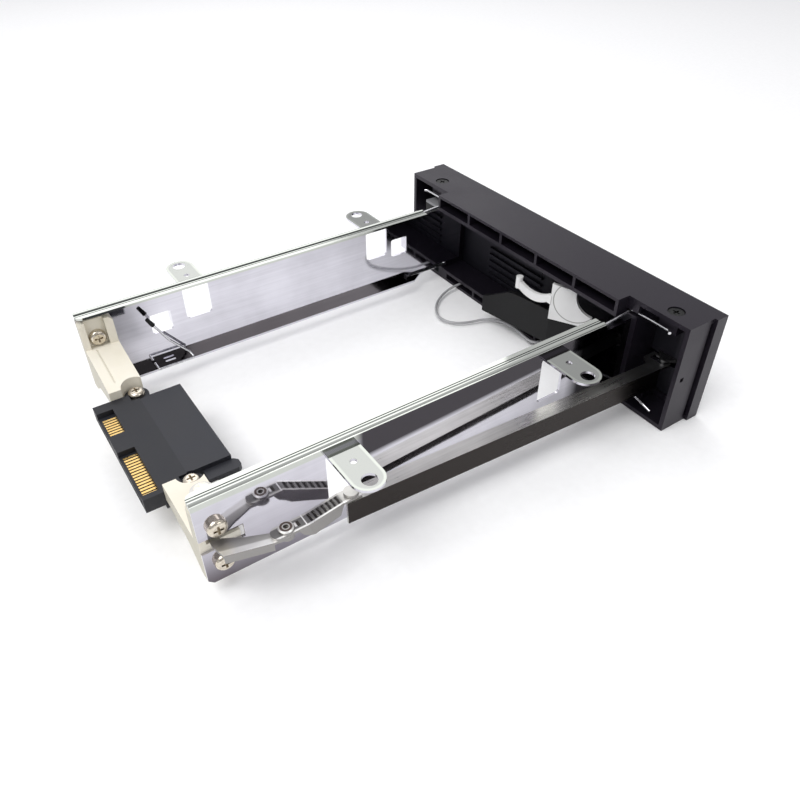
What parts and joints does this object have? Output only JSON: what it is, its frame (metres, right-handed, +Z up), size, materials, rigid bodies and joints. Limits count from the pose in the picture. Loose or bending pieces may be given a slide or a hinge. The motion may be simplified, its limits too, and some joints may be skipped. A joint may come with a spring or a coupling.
{
  "type": "hot swap drive cage",
  "caption": "Tray-free cage that holds one hard drive in a front bay, with a hinged door, an ejector linkage and a docking connector at the back.",
  "frame": {"origin": "centre of the footprint, at the level of the bezel's underside", "axes": "+Y from the door towards the connector, +Z up, +X across to the latch side"},
  "size_m": [0.1496, 0.1752, 0.041],
  "materials": {
    "bezel_black": "fine moulded texture, satin",
    "door_black": "fine moulded texture, satin",
    "arm_black": "satin",
    "pad_white": "satin",
    "plate_steel": "bright rolled sheet",
    "spring_steel": "polished wire",
    "linkage_steel": "bright stamped sheet",
    "screw_nickel": "nickel plated",
    "screw_black": "black oxide",
    "crossbar_ivory": "moulded, satin",
    "adapter_black": "moulded, matte",
    "board_green": "solder mask",
    "contact_gold": "gold plated",
    "switch_grey": "matte",
    "lens_clear": "clear",
    "lead_grey": "soft sleeve"
  },
  "bodies": {
    "frame": {"bezel_body": "bezel_black", "front_fascia": "bezel_black", "door_hinge_pins": "screw_nickel", "latch_spring": "spring_steel", "door_switch": "arm_black", "door_switch_cap": "switch_grey", "left_side_plate": "plate_steel", "right_side_plate": "plate_steel", "left_retaining_wires": "spring_steel", "right_retaining_wires": "spring_steel", "drive_spring": "spring_steel", "spring_tip": "arm_black", "rear_crossbar": "crossbar_ivory", "lever_pivot_pin": "screw_nickel", "adapter_drive_shell": "adapter_black", "adapter_cable_shell": "adapter_black", "adapter_board": "board_green", "signal_contacts": "contact_gold", "power_contacts": "contact_gold", "drive_contacts": "contact_gold", "adapter_screws": "screw_nickel", "left_plate_screws": "screw_nickel", "right_plate_screws": "screw_nickel", "bezel_screws": "screw_black", "light_pipes": "lens_clear", "light_board": "board_green", "lead_plugs": "arm_black", "indicator_lead": "lead_grey"},
    "door": {"door_panel": "door_black", "door_crank": "linkage_steel", "pusher_pin": "screw_nickel"},
    "pusher": {"pusher_arm": "arm_black", "pusher_pad": "pad_white"},
    "latch": {"latch_button": "door_black"},
    "lever": {"ejector_lever": "linkage_steel", "lever_rivet": "linkage_steel"},
    "link": {"ejector_link": "linkage_steel"},
    "bar": {"push_bar": "plate_steel", "bar_pin_rivet": "linkage_steel"}
  },
  "joints": [
    {"name": "door_swing", "type": "hinge", "parent": "frame", "child": "door", "pos_m": [-0.0633, -0.0854, 0.0205], "axis": [0, 0, -1], "range_deg": [0, 90]},
    {"name": "pusher_fold", "type": "hinge", "parent": "door", "child": "pusher", "pos_m": [-0.0376, -0.0804, 0.0135], "axis": [0, 0, -1], "range_deg": [0, 13], "stiffness_Nm_per_rad": 0.03, "springref_deg": -17.19},
    {"name": "latch_press", "type": "slide", "parent": "frame", "child": "latch", "axis": [0, 1, 0], "range_m": [0, 0.0015], "stiffness_N_per_m": 400, "springref_m": -0.001, "deforming": ["latch_spring"]},
    {"name": "bar_slide", "type": "slide", "parent": "frame", "child": "bar", "axis": [0, -1, 0], "range_m": [0, 0.00662]},
    {"name": "lever_swing", "type": "hinge", "parent": "frame", "child": "lever", "pos_m": [-0.0336, 0.0735, 0.0208], "axis": [0, 0, 1], "range_deg": [0, 15.01]},
    {"name": "link_turn", "type": "hinge", "parent": "lever", "child": "link", "pos_m": [-0.0592, 0.0611, 0.0216], "axis": [0, 0, 1], "range_deg": [-25.75, 0]}
  ],
  "couplings": [
    {"joint": "bar_slide", "follows": "door_swing", "m_per_rad": 0.0042064},
    {"joint": "lever_swing", "follows": "door_swing", "ratio": 0.16667},
    {"joint": "link_turn", "follows": "door_swing", "ratio": -0.2855}
  ]
}
